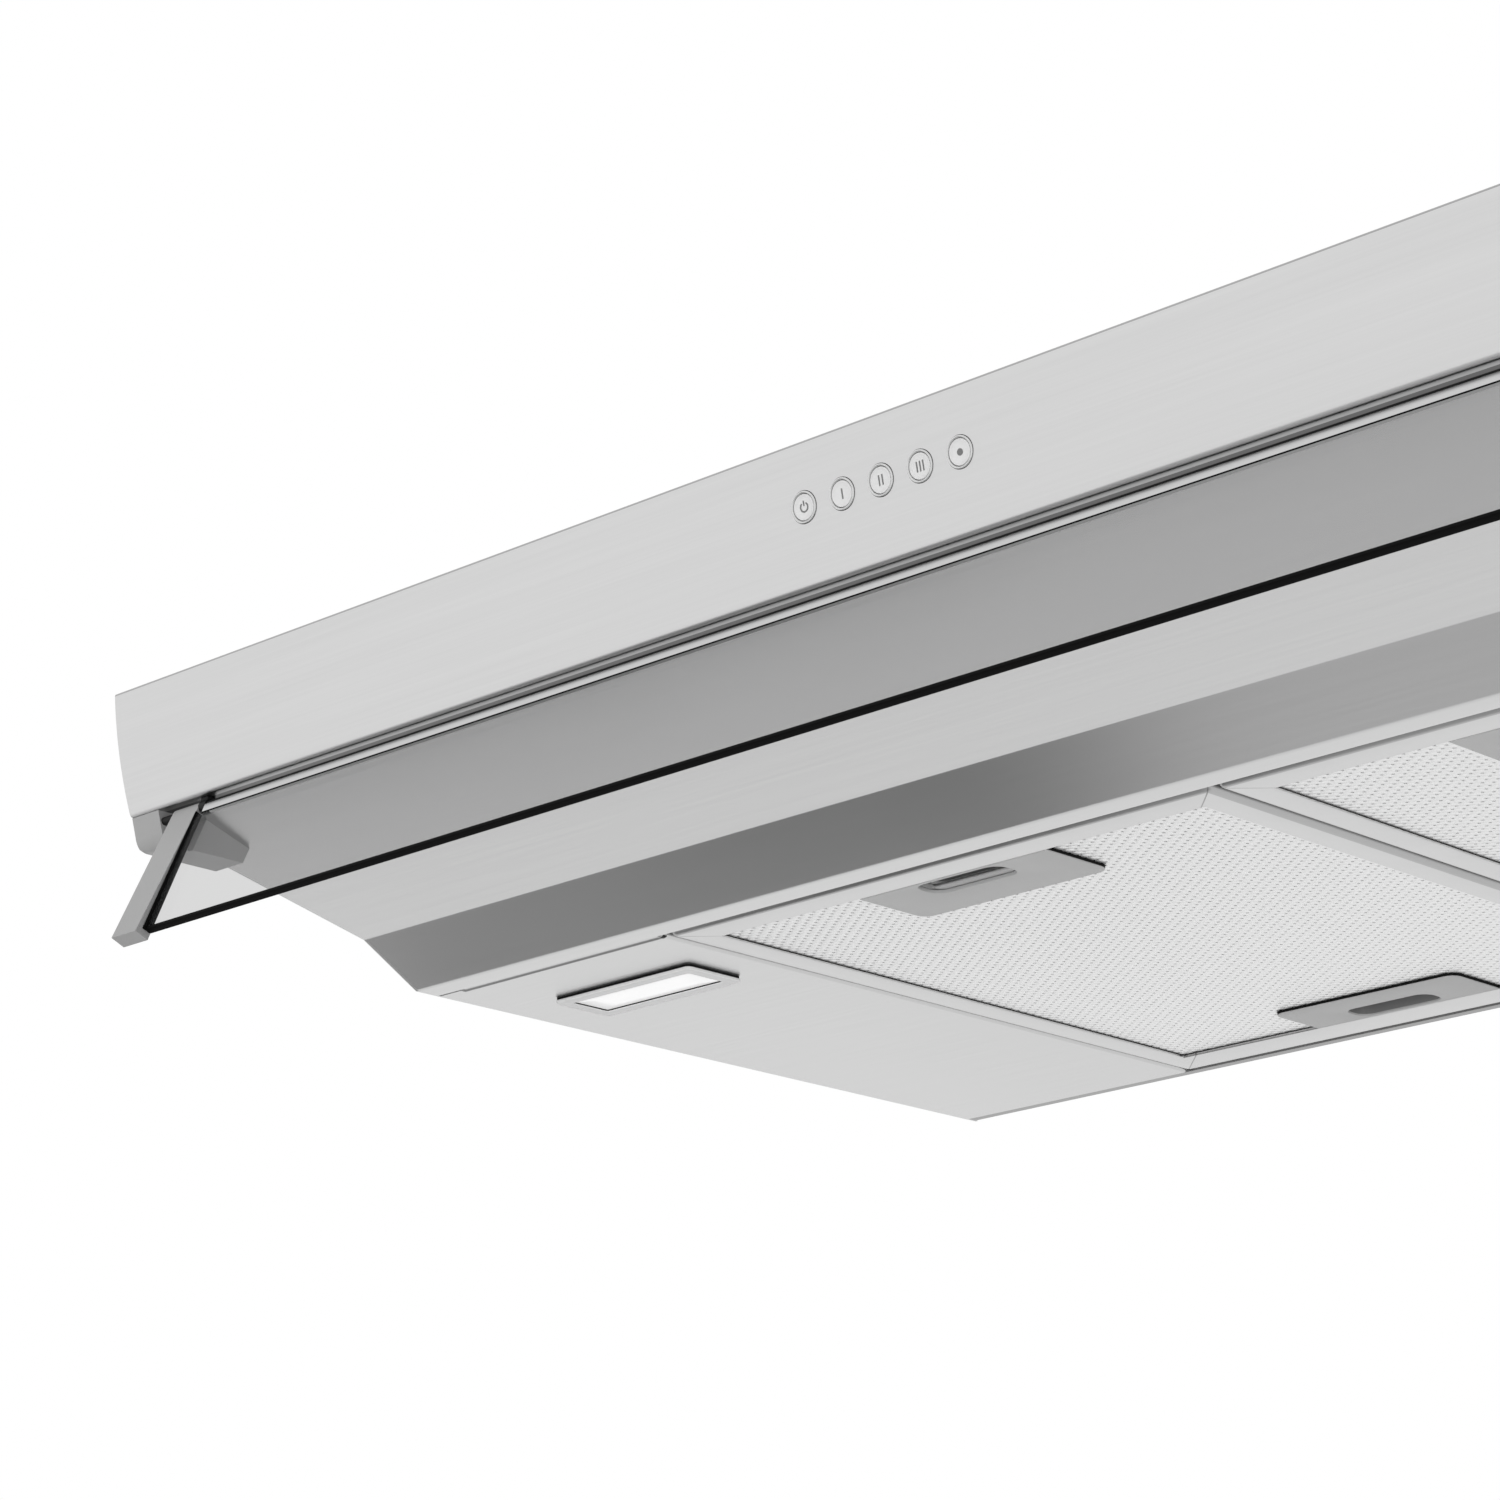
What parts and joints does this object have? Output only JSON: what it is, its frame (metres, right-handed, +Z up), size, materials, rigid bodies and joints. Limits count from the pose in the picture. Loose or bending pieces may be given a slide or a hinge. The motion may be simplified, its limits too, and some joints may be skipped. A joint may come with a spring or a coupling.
{
  "type": "wall mount range hood",
  "caption": "Slim stainless wall range hood with a flip-out glass visor, two mesh filters, two lamps, push buttons and a rear motor section.",
  "frame": {"origin": "centre of the back wall face at keyhole height, 112 mm above the flat underside", "axes": "+X along the width to the right as seen from the front, +Y into the wall, +Z up"},
  "size_m": [0.76, 0.5003, 0.21],
  "materials": {
    "steel_shell": "horizontally brushed stainless steel",
    "steel_inner": "silver coated sheet",
    "filter_alloy": "satin anodised",
    "grey_plastic": "fine moulded grey",
    "latch_plastic": "fine moulded grey",
    "black_plastic": "satin black",
    "black_rubber": "matt black",
    "smoked_glass": "smoked, polished",
    "rail_alloy": "satin anodised",
    "lamp_trim": "satin light grey",
    "lamp_diffuser": "opal diffuser",
    "button_cap": "satin light grey with dark symbols",
    "button_ring": "satin plated",
    "zinc_steel": "zinc plated",
    "motor_winding": "varnished winding",
    "board_green": "coated board",
    "white_plastic": "moulded white"
  },
  "bodies": {
    "chassis": {"top_casing": "steel_inner", "front_deck": "steel_inner", "end_plate_left": "steel_shell", "end_plate_right": "steel_shell", "front_fascia": "steel_shell", "lower_canopy": "steel_inner", "lamp_panel_left": "steel_inner", "lamp_panel_right": "steel_inner", "filter_divider": "steel_inner", "lamp_bezel_left": "lamp_trim", "lamp_bezel_right": "lamp_trim", "lamp_lens_left": "lamp_diffuser", "lamp_lens_right": "lamp_diffuser", "led_boards": "board_green", "visor_clips": "black_plastic", "hinge_housing_left": "grey_plastic", "hinge_housing_right": "grey_plastic", "button_rings": "button_ring", "button_bank": "black_plastic", "bank_bracket": "zinc_steel", "scroll_housing": "black_plastic", "scroll_cover": "black_plastic", "motor_can": "zinc_steel", "motor_stator": "motor_winding", "motor_bearings": "zinc_steel", "motor_bracket": "zinc_steel", "capacitor": "white_plastic", "terminal_box": "black_plastic", "terminal_cover": "black_plastic", "led_driver": "white_plastic", "wiring_loom": "black_rubber", "cable_gland": "black_plastic", "duct_collar": "black_plastic", "case_screws": "zinc_steel"},
    "visor": {"visor_glass": "smoked_glass", "visor_rail": "rail_alloy", "visor_edge_trim": "black_rubber", "visor_side_seals": "black_rubber", "visor_arm_left": "grey_plastic", "visor_arm_right": "grey_plastic", "visor_pins": "zinc_steel"},
    "filter_left": {"filter_frame_left": "filter_alloy", "filter_mesh_left": "filter_alloy", "latch_case_left": "latch_plastic"},
    "filter_right": {"filter_frame_right": "filter_alloy", "filter_mesh_right": "filter_alloy", "latch_case_right": "latch_plastic"},
    "latch_left": {"latch_slider_left": "latch_plastic"},
    "latch_right": {"latch_slider_right": "latch_plastic"},
    "power_button": {"button_power": "button_cap"},
    "low_button": {"button_low": "button_cap"},
    "mid_button": {"button_mid": "button_cap"},
    "high_button": {"button_high": "button_cap"},
    "light_button": {"button_light": "button_cap"},
    "rotor": {"impeller": "black_plastic", "motor_shaft": "zinc_steel", "motor_rotor": "zinc_steel"},
    "flap_front": {"damper_flap_front": "black_plastic"},
    "flap_back": {"damper_flap_back": "black_plastic"}
  },
  "joints": [
    {"name": "visor_hinge", "type": "hinge", "parent": "chassis", "child": "visor", "pos_m": [0, -0.4719, -0.07515], "axis": [1, 0, 0], "range_deg": [0, 100]},
    {"name": "filter_left_drop", "type": "hinge", "parent": "chassis", "child": "filter_left", "pos_m": [-0.12835, -0.006, -0.1117], "axis": [1, 0, 0], "range_deg": [0, 60]},
    {"name": "latch_left_slide", "type": "slide", "parent": "filter_left", "child": "latch_left", "axis": [0, 1, 0], "range_m": [0, 0.004], "stiffness_N_per_m": 300, "springref_m": -0.003},
    {"name": "filter_right_drop", "type": "hinge", "parent": "chassis", "child": "filter_right", "pos_m": [0.12835, -0.006, -0.1117], "axis": [1, 0, 0], "range_deg": [0, 60]},
    {"name": "latch_right_slide", "type": "slide", "parent": "filter_right", "child": "latch_right", "axis": [0, 1, 0], "range_m": [0, 0.004], "stiffness_N_per_m": 300, "springref_m": -0.003},
    {"name": "power_press", "type": "slide", "parent": "chassis", "child": "power_button", "axis": [0, 0.9805, 0.1967], "range_m": [0, 0.003], "stiffness_N_per_m": 500, "springref_m": -0.001},
    {"name": "low_press", "type": "slide", "parent": "chassis", "child": "low_button", "axis": [0, 0.9805, 0.1967], "range_m": [0, 0.003], "stiffness_N_per_m": 500, "springref_m": -0.001},
    {"name": "mid_press", "type": "slide", "parent": "chassis", "child": "mid_button", "axis": [0, 0.9805, 0.1967], "range_m": [0, 0.003], "stiffness_N_per_m": 500, "springref_m": -0.001},
    {"name": "high_press", "type": "slide", "parent": "chassis", "child": "high_button", "axis": [0, 0.9805, 0.1967], "range_m": [0, 0.003], "stiffness_N_per_m": 500, "springref_m": -0.001},
    {"name": "light_press", "type": "slide", "parent": "chassis", "child": "light_button", "axis": [0, 0.9805, 0.1967], "range_m": [0, 0.003], "stiffness_N_per_m": 500, "springref_m": -0.001},
    {"name": "blower_spin", "type": "hinge", "parent": "chassis", "child": "rotor", "pos_m": [0, -0.18, -0.028], "axis": [1, 0, 0], "continuous": true},
    {"name": "flap_front_lift", "type": "hinge", "parent": "chassis", "child": "flap_front", "pos_m": [0, -0.15458, 0.045], "axis": [-1, 0, 0], "range_deg": [0, 75]},
    {"name": "flap_back_lift", "type": "hinge", "parent": "chassis", "child": "flap_back", "pos_m": [0, -0.14858, 0.045], "axis": [1, 0, 0], "range_deg": [0, 75]}
  ]
}
